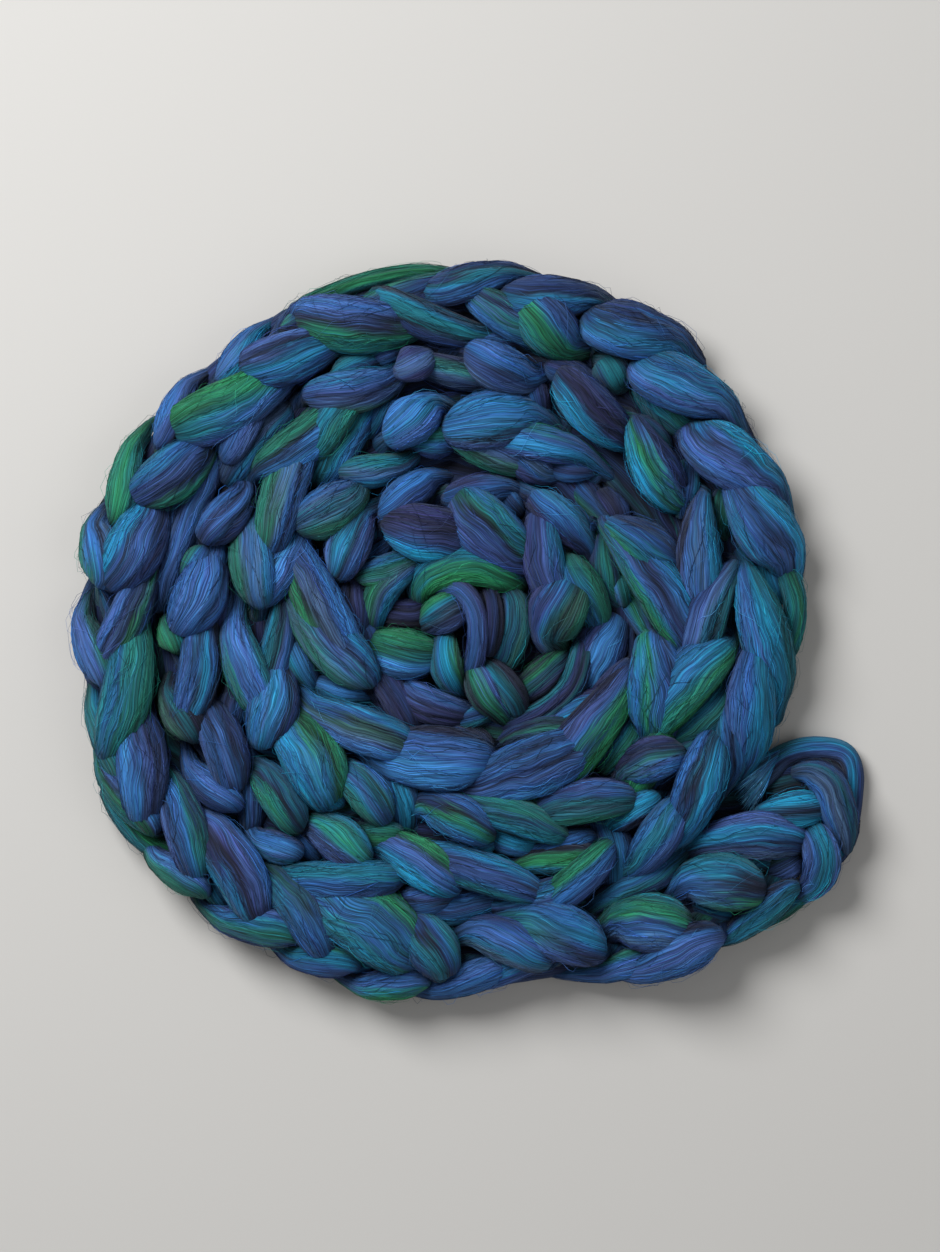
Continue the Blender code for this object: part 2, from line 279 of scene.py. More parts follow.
def leg_stations(n, tip, leg, sign, seed):
    """Stations of one leg, from the tip to its far end."""
    fx, fy, w, low, dyes, sx, sy = leg
    far = np.array([fx, fy])
    tip = np.array([sx, sy])
    ahead, inner = heading(n)
    if low:
        w *= 1.1
    lift = 0.35 if low else float(np.interp(w, (24, 44), (0.50, 1.0)))
    true = max(w * 1.06, 34.0)
    spare = true - w
    length = np.linalg.norm(far - tip)
    along = unit(far - tip)
    across = np.array([-along[1], along[0]])
    if np.dot(across, inner) < 0:
        across = -across                      # towards the coil's middle
    parts = dyes.split(">")
    c0 = stripes(parts[0])
    c1 = stripes(parts[-1])
    f0, f1 = furrows(parts[0], seed), furrows(parts[-1], seed)
    rng = np.random.default_rng(seed + 9)
    bow = (0.08 if sign > 0 else 0.045) + rng.uniform(-0.015, 0.015)
    tilt = math.radians(16 + 34 * (1 - lift))
    rim = sign < 0 and n <= RIM_LAST
    widths = LEG_W_SLIM if n in SLIM else LEG_W_TAPER if (n, int(sign)) in TAPER else LEG_W
    out = []
    for k, s in enumerate(LEG_S):
        mid = tip + along * length * s
        mid = mid + across * sign * (bow * length * 4 * max(s * (1 - s), 0)
                                     - (1.4 if rim else 1.5) * w * max(s - 0.80, 0))
        if rim:                               # tapers on its inner side only, the rim stays smooth
            mid = mid + across * sign * true * 0.20 * max(1 - widths[k], 0)
        mid = mid - across * sign * spare * 0.5
        z = Z_FOOT + (Z_FOOT + (Z_CREST - Z_FOOT) * lift - Z_FOOT) * LEG_Z[k]
        hw = true * 0.5 * widths[k]
        ht = min(true * 0.5, 25) * 0.72 * widths[k] ** 0.6
        normal = unit(UP * math.cos(tilt) + flat(across * sign) * math.sin(tilt)
                      + flat(along) * 0.25 * (s - 0.3))
        f = np.clip((s - 0.25) / 0.5, 0, 1)
        fade = math.sin(min(max(s, 0.0), 1.0) * math.pi) ** 0.5 if 0 < s < 1 else 0.0
        # the leg's colour times its painted shade and light along it
        out.append((place(mid, z), normal, flat(across), hw, ht,
                    (c0 * (1 - f) + c1 * f) * LEG_SHADE_AND_LIGHT[k], (f0 * (1 - f) + f1 * f) * fade))
    return out


def chain_route():
    route = Route()
    marks = []
    for n in range(FIRST, LAST + 1):
        tip, leg_in, leg_out = ROWS[n]
        ahead, inner = heading(n)
        nxt = TIPS[n + 1]
        pitch = np.linalg.norm(nxt - tip)
        marks.append(len(route.c))
        a = leg_stations(n, tip, leg_in, 1.0, 100 + n * 2)
        b = leg_stations(n, tip, leg_out, -1.0, 101 + n * 2)
        wa, wb = a[3][3], b[3][3]
        route.add(place(tip - ahead * pitch * 0.16 + inner * 3, Z_ENTRY), flat(inner), flat(inner),
                  wa * 0.75, wa * 0.45, a[0][5], a[0][6] * 0, 0.2, 2)
        for q in a:
            route.add(*q, 1.0, 2)
        pa, pb = np.array(leg_in[:2]), np.array(leg_out[:2])
        turn = heading(min(n + 1, LAST))[0]
        dark = 0.5 * (a[-1][5] + b[-1][5])
        for share, reach, z in ((0.27, 0.08, Z_HEAD), (0.5, 0.14, Z_HEAD), (0.73, 0.08, Z_HEAD)):
            mid = pa * (1 - share) + pb * share + turn * pitch * reach
            col = a[-1][5] * (1 - share) + b[-1][5] * share
            route.add(place(mid, z), unit(UP + flat(turn) * 0.4), flat(turn),
                      (wa * (1 - share) + wb * share) * 0.46, (wa * (1 - share) + wb * share) * 0.42,
                      col, a[-1][6] * 0, 0.2, 2)
        for q in reversed(b):
            route.add(*q, 1.0, 2)
        route.add(place(tip - ahead * pitch * 0.14 - inner * 3, Z_ENTRY - 1), unit(-flat(ahead) + UP * 0.2),
                  flat(inner), wb * 0.75, wb * 0.45, b[0][5], b[0][6] * 0, 0.2, 2)
        route.add(place(tip + (nxt - tip) * 0.45, Z_BACK), -UP, flat(inner), (wa + wb) * 0.52,
                  (wa + wb) * 0.34, 0.5 * (b[0][5] + a[0][5]), b[0][6] * 0, 0.2, 2)
    return route, marks


def crom(p, k, t):
    """Catmull-Rom between p[k] and p[k + 1]."""
    last = len(p) - 1
    p0, p1, p2, p3 = p[max(k - 1, 0)], p[k], p[min(k + 1, last)], p[min(k + 2, last)]
    return 0.5 * ((2 * p1) + (p2 - p0) * t + (2 * p0 - 5 * p1 + 4 * p2 - p3) * t * t
                  + (3 * p1 - p0 - 3 * p2 + p3) * t ** 3)


COLS = 40
THETA = (np.arange(COLS) + 0.5) / COLS * 2 * math.pi - math.pi / 2   # seam underneath


def rings(route, start, stop, cols=COLS, seed=1, lower=1.25, lump=0.045, depth=0.0011):
    """Vertex rings of the strand between two stations."""
    c, nrm, side, hw, ht = [], [], [], [], []
    col, fur, seen, where = [], [], [], []
    for k in range(start, stop):
        for q in range(route.sub[k]):
            t = q / route.sub[k]
            c.append(crom(route.c, k, t))
            j = min(k + 1, len(route.c) - 1)
            nrm.append(crom(route.n, k, t))
            side.append(route.side[k] * (1 - t) + route.side[j] * t)
            hw.append(crom(route.hw, k, t))
            ht.append(crom(route.ht, k, t))
            col.append(route.col[k] * (1 - t) + route.col[j] * t)
            fur.append(route.fur[k] * (1 - t) + route.fur[j] * t)
            seen.append(route.seen[k] * (1 - t) + route.seen[j] * t)
            where.append(k + t)
    j = min(stop, len(route.c) - 1)
    c.append(route.c[j]); nrm.append(route.n[j]); side.append(route.side[j])
    hw.append(route.hw[j]); ht.append(route.ht[j]); col.append(route.col[j])
    fur.append(route.fur[j]); seen.append(route.seen[j]); where.append(float(j))
    c, nrm, side = np.array(c), np.array(nrm), np.array(side)
    hw, ht = np.array(hw), np.array(ht)
    col, fur, seen, where = np.array(col), np.array(fur), np.array(seen), np.array(where)
    tan = np.gradient(c, axis=0)
    tan /= np.linalg.norm(tan, axis=1)[:, None] + 1e-12
    nrm = nrm - (nrm * tan).sum(1)[:, None] * tan
    nrm /= np.linalg.norm(nrm, axis=1)[:, None] + 1e-12
    bin_ = np.cross(tan, nrm)
    theta = (np.arange(cols) + 0.5) / cols * 2 * math.pi - math.pi / 2
    cs, sn = np.cos(theta), np.sin(theta)
    # lumps, continuous from ring to ring
    rng = np.random.default_rng(seed)
    w = where[:, None]
    bump = np.zeros((len(c), cols))
    for f in range(1, 5):
        for g in (0.35, 0.8, 1.7):
            bump += rng.normal() * np.cos(f * theta[None, :] + g * w + rng.uniform(0, 6.28)) / (f + 1)
    bump = lump * bump / 2.2
    low = np.where(sn < 0, lower, 1.0)
    low = 1 + (low - 1) * np.clip(seen, 0, 1)[:, None]
    offx = hw[:, None] * cs[None, :] * (1 + bump)
    offy = ht[:, None] * sn[None, :] * low * (1 + bump)
    vec = bin_[:, None, :] * offx[..., None] + nrm[:, None, :] * offy[..., None]
    # place across the strand, as seen from above
    flatside = side - (side * tan).sum(1)[:, None] * tan * 0.0
    lat = (vec * flatside[:, None, :]).sum(2)
    lo, hi = lat.min(1)[:, None], lat.max(1)[:, None]
    u = (lat - lo) / np.maximum(hi - lo, 1e-9)
    drift = np.zeros_like(u)
    for f in (2.0, 5.0, 9.0):
        for g in (0.6, 1.9):
            drift += rng.normal() * np.sin(f * theta[None, :] + g * w + rng.uniform(0, 6.28)) / (f ** 0.5)
    u = np.clip(u + 0.030 * drift, 0, 1)
    x = u * (NS - 1)
    i = np.clip(np.floor(x).astype(int), 0, NS - 2)
    f = x - i
    rr = np.arange(len(c))[:, None]
    colour = col[rr, i] * (1 - f)[..., None] + col[rr, i + 1] * f[..., None]
    shift = np.clip(u + 0.20 * np.sin(6 * theta[None, :] + 0.9 * w + 1.0), 0, 0.999) * (NS - 1)
    i2 = np.clip(np.floor(shift).astype(int), 0, NS - 2)
    second = col[rr, i2]
    groove = fur[rr, i] * (1 - f) + fur[rr, i + 1] * f
    # painted shade: the strand's flanks and underside darker than its top
    flank_shade = np.clip((sn + 0.25) / 0.85, 0, 1)
    flank_shade = (0.66 + 0.34 * flank_shade * flank_shade * (3 - 2 * flank_shade))[None, :, None]
    colour, second = colour * flank_shade, second * flank_shade
    top = np.clip(sn * 2 + 0.6, 0, 1)[None, :]
    size = np.linalg.norm(vec, axis=2, keepdims=True)
    cut = depth * groove * top
    vec = vec * (1 - np.minimum(cut[..., None] / np.maximum(size, 1e-6), 0.35))
    pos = c[:, None, :] + vec
    z = pos[..., 2]
    pos[..., 2] = np.where(z < 0.0016, 0.0003 + 0.0013 * np.exp((z - 0.0016) / 0.0013), z)
    step = np.linalg.norm(np.diff(c, axis=0), axis=1)
    run = np.concatenate([[0], np.cumsum(step)])
    return {"pos": pos, "colour": colour, "second": second, "groove": groove, "run": run,
            "where": where, "theta": theta, "tan": tan, "nrm": nrm, "bin": bin_, "c": c,
            "hw": hw, "ht": ht, "seen": seen}


def fibre_mesh(name, source, count, seed, reach=(10, 26), lift=(0.03, 0.35), thick=(0.07, 0.15),
               shade=0.24, knots=8, slack=0.05, under=-0.05, bright=1.0, turn=13):
    """Fibres lying along the strand, each a thin closed three-sided thread."""
    rng = np.random.default_rng(seed)
    tubes = []
    for d in source:
        pos, run, seen = d["pos"], d["run"], d["seen"]
        R, C = pos.shape[:2]
        tubes.append((d, float((np.diff(run) * (seen[:-1] > 0.6) * (d["hw"][:-1] + 0.006)).sum())))
    total = sum(t[1] for t in tubes)
    lines, tints = [], []
    for d, share in tubes:
        n = int(round(count * share / total))
        if not n:
            continue
        pos, run, seen, c = d["pos"], d["run"], d["seen"], d["c"]
        R, C = pos.shape[:2]
        weight = np.diff(run) * (seen[:-1] > 0.6) * (d["hw"][:-1] + 0.006)
        cum = np.cumsum(weight) / weight.sum()
        at = np.searchsorted(cum, rng.random(n))
        centre = run[at] + rng.random(n) * (run[at + 1] - run[at])
        length = rng.uniform(reach[0], reach[1], n) * 0.001
        # angle round the strand, 90 degrees is its top
        ang = np.degrees(np.arcsin(rng.uniform(under, 1.0, n)))
        ang = np.where(rng.random(n) < 0.5, ang, 180 - ang)
        k = np.linspace(-0.5, 0.5, knots)[None, :]
        s = np.clip(centre[:, None] + length[:, None] * k, run[0], run[-1])
        ring = np.interp(s, run, np.arange(R))
        swing = rng.normal(0, turn, n)[:, None] * k * 2 + rng.normal(0, 4, n)[:, None] * np.sin(
            k * 9 + rng.uniform(0, 6.28, n)[:, None])
        angle = ang[:, None] + swing
        col = ((angle + 90.0) / 360.0 * C - 0.5) % C
        r0 = np.clip(np.floor(ring).astype(int), 0, R - 2)
        fr = (ring - r0)[..., None]
        c0 = np.floor(col).astype(int) % C
        c1 = (c0 + 1) % C
        fc = (col - np.floor(col))[..., None]

        def pick(a):
            return ((a[r0, c0] * (1 - fc) + a[r0, c1] * fc) * (1 - fr)
                    + (a[r0 + 1, c0] * (1 - fc) + a[r0 + 1, c1] * fc) * fr)

        p = pick(pos)
        mid = c[r0] * (1 - fr) + c[r0 + 1] * fr
        out = p - mid
        out /= np.linalg.norm(out, axis=2, keepdims=True) + 1e-12
        rise = rng.uniform(lift[0], lift[1], n)[:, None] * 0.001
        bell = np.clip(1.15 - (np.abs(k) * 2) ** 4 * 1.6, -0.6, 1)
        p = p + out * (rise * bell)[..., None]
        if slack:
            p = p + rng.normal(0, 1, (n, 1, 3)) * 0
            wave = rng.normal(0, slack * 0.001, (n, 3, 1))[:, :, 0]
            p = p + wave[:, None, :] * np.sin(k * 7 + rng.uniform(0, 6.28, n)[:, None])[..., None]
        tone = np.where(rng.random(n)[:, None, None] < 0.45, pick(d["second"]), pick(d["colour"]))
        keep = tone.mean(1, keepdims=True)
        tone = tone * 0.7 + keep * 0.3
        gain = bright * np.exp(rng.normal(0.0, shade, n))
        pick_dark = rng.random(n)
        gain = np.where(pick_dark < 0.30, gain * 0.36, np.where(pick_dark > 0.84, gain * 1.55, gain))
        tone = tone * gain[:, None, None]
        tone = tone * (1 + rng.normal(0, 0.10, (n, 1, 3)))
        lines.append(p)
        tints.append(np.clip(tone, 0, 1))
    return thread_mesh(name, np.concatenate(lines), np.concatenate(tints), rng, thick)


def thread_mesh(name, p, tone, rng, thick):
    """Threads through the points p, one row to a thread."""
    n, K = p.shape[:2]
    keep = np.linalg.norm(p[:, -1] - p[:, 0], axis=1) > 0.0015
    p, tone = p[keep], tone[keep]
    n = len(p)
    p[..., 2] = np.maximum(p[..., 2], 0.0006)
    tan = np.gradient(p, axis=1)
    tan /= np.linalg.norm(tan, axis=2, keepdims=True) + 1e-12
    ref = np.array([0.0, 0.0, 1.0]) + 0 * tan
    side = np.cross(tan, ref)
    side /= np.linalg.norm(side, axis=2, keepdims=True) + 1e-9
    up = np.cross(side, tan)
    rad = rng.uniform(thick[0], thick[1], n)[:, None] * 0.001
    taper = np.ones(K)
    taper[0] = taper[-1] = 0.35
    rad = rad * taper[None, :]
    rings_ = []
    for q in range(3):
        a = math.radians(90 + 120 * q)
        rings_.append(p + (side * math.cos(a) + up * math.sin(a)) * rad[..., None])
    v = np.stack(rings_, axis=2)                      # n K 3 xyz
    base = (np.arange(n) * K * 3)[:, None, None]
    k = np.arange(K - 1)[None, :, None]
    q = np.arange(3)[None, None, :]
    qn = (q + 1) % 3
    a = base + k * 3 + q
    b = base + k * 3 + qn
    e = base + (k + 1) * 3 + qn
    h = base + (k + 1) * 3 + q
    quads = np.stack([a, b, e, h], axis=3).reshape(-1, 4)
    first = (np.arange(n) * K * 3)[:, None]
    cap0 = first + np.array([[2, 1, 0]])
    cap1 = first + (K - 1) * 3 + np.array([[0, 1, 2]])
    tris = np.concatenate([cap0, cap1])
    loops = np.concatenate([quads.reshape(-1), tris.reshape(-1)])
    starts = np.concatenate([np.arange(len(quads)) * 4, len(quads) * 4 + np.arange(len(tris)) * 3])
    mesh = bpy.data.meshes.new(name)
    mesh.vertices.add(n * K * 3)
    mesh.vertices.foreach_set("co", v.astype(np.float32).reshape(-1))
    mesh.loops.add(len(loops))
    mesh.loops.foreach_set("vertex_index", loops.astype(np.int32))
    mesh.polygons.add(len(starts))
    mesh.polygons.foreach_set("loop_start", starts.astype(np.int32))
    # each thread has its own small cell of the layout
    nx = int(math.ceil(math.sqrt(n)))
    cx = (np.arange(n) % nx)[:, None, None]
    cy = (np.arange(n) // nx)[:, None, None]
    along = (0.2 + 0.6 * np.stack([k / (K - 1), k / (K - 1), (k + 1) / (K - 1), (k + 1) / (K - 1)], axis=3)
             * np.ones((n, 1, 3, 1)))
    around = (0.2 + 0.6 * np.stack([q / 3, (q + 1) / 3, (q + 1) / 3, q / 3], axis=3)
              * np.ones((n, K - 1, 1, 1)))
    uvq = np.stack([(cx[..., None] + along) / nx, (cy[..., None] + around) / nx], axis=4).reshape(-1, 2)
    spot = np.stack([(np.arange(n) % nx + 0.5) / nx, (np.arange(n) // nx + 0.5) / nx], axis=1)
    spot = np.concatenate([spot.repeat(3, 0), spot.repeat(3, 0)])
    layer = mesh.uv_layers.new(name="OFBake")
    layer.data.foreach_set("uv", np.concatenate([uvq, spot]).astype(np.float32).reshape(-1))
    att = mesh.attributes.new("dye", "FLOAT_COLOR", "POINT")
    rgba = np.concatenate([tone.repeat(3, axis=1).reshape(-1, 3), np.ones((n * K * 3, 1))], axis=1)
    att.data.foreach_set("color", rgba.astype(np.float32).reshape(-1))
    mesh.update(calc_edges=True)
    mesh.polygons.foreach_set("use_smooth", np.ones(len(mesh.polygons), bool))
    obj = bpy.data.objects.new(name, mesh)
    bpy.context.scene.collection.objects.link(obj)
    return obj


def grid_mesh(name, sets, cells):
    """One mesh from rings. sets: list of ring sets, each a closed tube."""
    verts, faces, uv_g, uv_b, cola, colb, grv = [], [], [], [], [], [], []
    base = 0
    nx, ny = cells
    for s_index, d in enumerate(sets):
        R, C = d["pos"].shape[:2]
        verts.append(d["pos"].reshape(-1, 3))
        cola.append(d["colour"].reshape(-1, 3))
        colb.append(d["second"].reshape(-1, 3))
        grv.append(d["groove"].reshape(-1))
        r = np.arange(R - 1)[:, None]
        j = np.arange(C)[None, :]
        jn = (j + 1) % C
        a = base + r * C + j
        b = base + r * C + jn
        e = base + (r + 1) * C + jn
        h = base + (r + 1) * C + j
        quads = np.stack([a, b, e, h], axis=2).reshape(-1, 4)
        faces.append(quads)
        # uv: around the strand and along it
        around = np.stack([j / C, (j + 1) / C, (j + 1) / C, j / C], axis=2) * np.ones((R - 1, 1, 1))
        run = d["run"]
        total = run[-1]
        along = np.stack([run[:-1], run[:-1], run[1:], run[1:]], axis=1)[:, None, :] * np.ones((1, C, 1))
        uv_g.append(np.stack([around * 0.060 + 0.37 * s_index, along], axis=3).reshape(-1, 2))
        # bake layout: the strand cut into equal lengths, one to a cell
        cut = d.get("cells", 1)
        first = d.get("cell0", 0)
        which = np.minimum((run[:-1] / total * cut).astype(int), cut - 1)
        lo = which / cut * total
        part = (along - lo[:, None, None]) / (total / cut)
        part = np.clip(part, -0.02, 1.05)
        cell = first + which
        cx = (cell % nx)[:, None, None]
        cy = (cell // nx)[:, None, None]
        bu = (cx + 0.03 + 0.90 * part) / nx
        bv = (cy + 0.03 + 0.94 * around) / ny
        uv_b.append(np.stack([bu, bv], axis=3).reshape(-1, 2))
        base += R * C
    faces_n = sum(len(f) for f in faces)
    quads = np.concatenate(faces)
    # caps
    caps, cap_uv = [], []
    base = 0
    for d in sets:
        R, C = d["pos"].shape[:2]
        caps.append(list(range(base, base + C))[::-1])
        caps.append(list(range(base + (R - 1) * C, base + R * C)))
        base += R * C
    mesh = bpy.data.meshes.new(name)
    allv = np.concatenate(verts)
    loops = np.concatenate([quads.reshape(-1)] + [np.array(c) for c in caps])
    starts = np.concatenate([np.arange(len(quads)) * 4,
                             len(quads) * 4 + np.cumsum([0] + [len(c) for c in caps[:-1]])])
    mesh.vertices.add(len(allv))
    mesh.vertices.foreach_set("co", allv.astype(np.float32).reshape(-1))
    mesh.loops.add(len(loops))
    mesh.loops.foreach_set("vertex_index", loops.astype(np.int32))
    mesh.polygons.add(len(starts))
    mesh.polygons.foreach_set("loop_start", starts.astype(np.int32))
    extra = np.full((len(loops) - len(quads) * 4, 2), 0.001)
    g = mesh.uv_layers.new(name="grain")
    b = mesh.uv_layers.new(name="OFBake")
    g.data.foreach_set("uv", np.concatenate(uv_g + [extra]).astype(np.float32).reshape(-1))
    b.data.foreach_set("uv", np.concatenate(uv_b + [extra]).astype(np.float32).reshape(-1))
    for label, data in (("dye", np.concatenate(cola)), ("dye_two", np.concatenate(colb))):
        att = mesh.attributes.new(label, "FLOAT_COLOR", "POINT")
        rgba = np.concatenate([data, np.ones((len(data), 1))], axis=1)
        att.data.foreach_set("color", rgba.astype(np.float32).reshape(-1))
    att = mesh.attributes.new("groove", "FLOAT", "POINT")
    att.data.foreach_set("value", np.concatenate(grv).astype(np.float32))
    mesh.update(calc_edges=True)
    mesh.validate()
    mesh.polygons.foreach_set("use_smooth", np.ones(len(mesh.polygons), bool))
    obj = bpy.data.objects.new(name, mesh)
    bpy.context.scene.collection.objects.link(obj)
    return obj


# ---------------------------------------------------------------- material

def wool_material(name, gain=1.0):
    m = bpy.data.materials.new(name)
    m.use_nodes = True
    nt = m.node_tree
    nt.nodes.clear()
    N, L = nt.nodes, nt.links

    def node(kind, **kw):
        x = N.new(kind)
        for k, v in kw.items():
            setattr(x, k, v)
        return x

    out = node("ShaderNodeOutputMaterial")
    bsdf = node("ShaderNodeBsdfPrincipled")
    L.new(bsdf.outputs[0], out.inputs[0])
    bsdf.inputs["Roughness"].default_value = 0.72
    bsdf.inputs["Specular IOR Level"].default_value = 0.25
    bsdf.inputs["Sheen Weight"].default_value = 0.12
    bsdf.inputs["Sheen Roughness"].default_value = 0.45
    bsdf.inputs["Sheen Tint"].default_value = (0.55, 0.72, 1.0, 1.0)
    uv = node("ShaderNodeUVMap", uv_map="grain")
    dye = node("ShaderNodeAttribute", attribute_name="dye")
    two = node("ShaderNodeAttribute", attribute_name="dye_two")
    grv = node("ShaderNodeAttribute", attribute_name="groove")

    def streak(sx, sy, detail, rough=0.5, seed=0.0):
        mp = node("ShaderNodeMapping")
        mp.inputs["Scale"].default_value = (sx, sy, 1.0)
        mp.inputs["Location"].default_value = (seed, seed * 1.7, 0.0)
        L.new(moved.outputs[0], mp.inputs[0])
        no = node("ShaderNodeTexNoise", noise_dimensions="2D")
        no.inputs["Scale"].default_value = 1.0
        no.inputs["Detail"].default_value = detail
        no.inputs["Roughness"].default_value = rough
        L.new(mp.outputs[0], no.inputs["Vector"])
        return no.outputs["Fac"]

    # the grain wanders a little to either side along the strand
    wave_map = node("ShaderNodeMapping")
    wave_map.inputs["Scale"].default_value = (60.0, 55.0, 1.0)
    L.new(uv.outputs[0], wave_map.inputs[0])
    wave = node("ShaderNodeTexNoise", noise_dimensions="2D")
    wave.inputs["Scale"].default_value = 1.0
    wave.inputs["Detail"].default_value = 1.0
    L.new(wave_map.outputs[0], wave.inputs["Vector"])
    sway = node("ShaderNodeCombineXYZ")
    sway_by = node("ShaderNodeMath", operation="MULTIPLY")
    L.new(wave.outputs["Fac"], sway_by.inputs[0])
    sway_by.inputs[1].default_value = 0.0055
    L.new(sway_by.outputs[0], sway.inputs[0])
    moved = node("ShaderNodeVectorMath", operation="ADD")
    L.new(uv.outputs[0], moved.inputs[0])
    L.new(sway.outputs[0], moved.inputs[1])

    def math_(op, a, b=None, clamp=False):
        x = node("ShaderNodeMath", operation=op, use_clamp=clamp)
        for i, v in enumerate((a, b)):
            if v is None:
                continue
            if isinstance(v, (int, float)):
                x.inputs[i].default_value = v
            else:
                L.new(v, x.inputs[i])
        return x.outputs[0]

    def ramp(v, lo, hi):
        x = node("ShaderNodeMapRange", interpolation_type="SMOOTHSTEP")
        L.new(v, x.inputs["Value"])
        x.inputs["From Min"].default_value = lo
        x.inputs["From Max"].default_value = hi
        return x.outputs["Result"]

    fine = streak(2300, 48, 2.0, 0.70, 3.1)
    hair = streak(2600, 34, 1.0, 0.5, 57.3)
    mid = streak(1350, 30, 2.0, 0.6, 8.7)
    wide = streak(480, 18, 2.0, 0.55, 15.3)
    broad = streak(130, 14, 1.0, 0.5, 41.9)

    def contour(v, half):
        """Thin lines where a streak pattern crosses its middle value."""
        away = math_("ABSOLUTE", math_("SUBTRACT", v, 0.5))
        return math_("SUBTRACT", 1.0, ramp(away, 0.0, half))

    fold = streak(420, 13, 1.0, 0.5, 77.7)
    lock = streak(820, 17, 1.0, 0.5, 23.9)
    glint = streak(1050, 26, 1.0, 0.5, 91.3)
    # fibres of the neighbouring dye mixed in
    mixing = ramp(math_("ADD", math_("MULTIPLY", fine, 0.45), math_("ADD", math_("MULTIPLY", mid, 0.3),
                  math_("MULTIPLY", wide, 0.25))), 0.43, 0.57)
    blend = node("ShaderNodeMix", data_type="RGBA")
    L.new(math_("MULTIPLY", mixing, 0.85), blend.inputs[0])
    L.new(dye.outputs["Color"], blend.inputs[6])
    L.new(two.outputs["Color"], blend.inputs[7])
    # light and dark fibres
    hsv = node("ShaderNodeHueSaturation")
    L.new(blend.outputs[2], hsv.inputs["Color"])
    light = math_("ADD", math_("MULTIPLY", fine, 2.2), math_("ADD", math_("MULTIPLY", wide, 1.4),
                  math_("MULTIPLY", broad, 1.2)))
    light = math_("SUBTRACT", light, 1.20)
    dark = ramp(mid, 0.55, 0.68)
    light = math_("MULTIPLY", light, math_("SUBTRACT", 1.0, math_("MULTIPLY", dark, 0.30)))
    # painted shade: thin dark lines along the folds and locks, as the shadows between fibre bundles
    light = math_("MULTIPLY", light, math_("SUBTRACT", 1.0, math_("MULTIPLY", contour(fold, 0.050), 0.40)))
    light = math_("MULTIPLY", light, math_("SUBTRACT", 1.0, math_("MULTIPLY", contour(lock, 0.055), 0.34)))
    # painted glints: thin lines lightened as highlights along the fibres
    light = math_("MULTIPLY", light, math_("ADD", 1.0, math_("MULTIPLY", contour(glint, 0.045), 0.38)))
    line = ramp(hair, 0.56, 0.66)
    light = math_("MULTIPLY", light, math_("SUBTRACT", 1.0, math_("MULTIPLY", line, 0.42)))
    # painted shade: darker where the groove between the locks is deep
    light = math_("MULTIPLY", light, math_("SUBTRACT", 1.0, math_("MULTIPLY", math_("MINIMUM", grv.outputs["Fac"], 1.0), 0.4)))
    light = math_("MULTIPLY", light, gain)
    L.new(light, hsv.inputs["Value"])
    hue = math_("ADD", 0.480, math_("MULTIPLY", streak(1300, 24, 1.0, 0.5, 31.0), 0.040))
    L.new(hue, hsv.inputs["Hue"])
    L.new(hsv.outputs[0], bsdf.inputs["Base Color"])
    height = math_("ADD", math_("MULTIPLY", fine, 0.6), math_("ADD", math_("MULTIPLY", mid, 0.4), math_("MULTIPLY", wide, 0.4)))
    height = math_("SUBTRACT", height, math_("MULTIPLY", contour(fold, 0.14), 0.40))
    height = math_("SUBTRACT", height, math_("MULTIPLY", contour(lock, 0.10), 0.22))
    bump = node("ShaderNodeBump")
    bump.inputs["Strength"].default_value = 0.8
    bump.inputs["Distance"].default_value = 0.0008
    L.new(height, bump.inputs["Height"])
    L.new(bump.outputs[0], bsdf.inputs["Normal"])
    return m


def thread_material(name):
    m = bpy.data.materials.new(name)
    m.use_nodes = True
    bsdf = m.node_tree.nodes["Principled BSDF"]
    att = m.node_tree.nodes.new("ShaderNodeAttribute")
    att.attribute_name = "dye"
    m.node_tree.links.new(att.outputs["Color"], bsdf.inputs["Base Color"])
    bsdf.inputs["Roughness"].default_value = 0.6
    bsdf.inputs["Specular IOR Level"].default_value = 0.3
    return m


WOOL = wool_material("dyed_wool_fibres")
THREAD = thread_material("single_wool_fibres")

# ---------------------------------------------------------------- build

route, marks = chain_route()
marks.append(len(route.c) - 1)
pieces = []
count = len(marks) - 1
groups = 5
per = math.ceil(count / groups)
allrings = []
planned = []                  # name, ring sets, cells of the layout
for gidx in range(groups):
    lo, hi = gidx * per, min((gidx + 1) * per, count)
    if lo >= hi:
        continue
    d = rings(route, marks[lo], marks[hi], seed=7)
    d["cells"] = hi - lo
    planned.append(("wool_strand_%d" % (gidx + 1), [d], (3, math.ceil((hi - lo) / 3))))
    allrings.append(d)


# the chain's back bumps and the wool between its rings, one low strand; real wool, dyed dark as painted shade below the
# turns
def low_strand(name, offset, z, half, high, dyes, seed):
    r = Route()
    for n in range(FIRST, LAST + 1):
        ahead, inner = heading(n)
        for share in (0.0, 0.5):
            at = TIPS[n] + (TIPS[n + 1] - TIPS[n]) * share + inner * offset
            r.add(place(at, z), UP.copy(), flat(inner), half, high, stripes(dyes), furrows(dyes, seed), 1.0, 2)
    d = rings(r, 0, len(r.c) - 1, cols=20, seed=seed, lower=1.0, lump=0.06)
    d["cells"] = 16
    return d


under = [low_strand("core", 4.0, 9.5, 27, 17, "nkvnkn", 301),
         low_strand("between", 44.0, 7.5, 22, 14, "vknkek", 302)]
for i, d in enumerate(under):
    d["cell0"] = 16 * i
planned.append(("wool_underlay", under, (6, 6)))
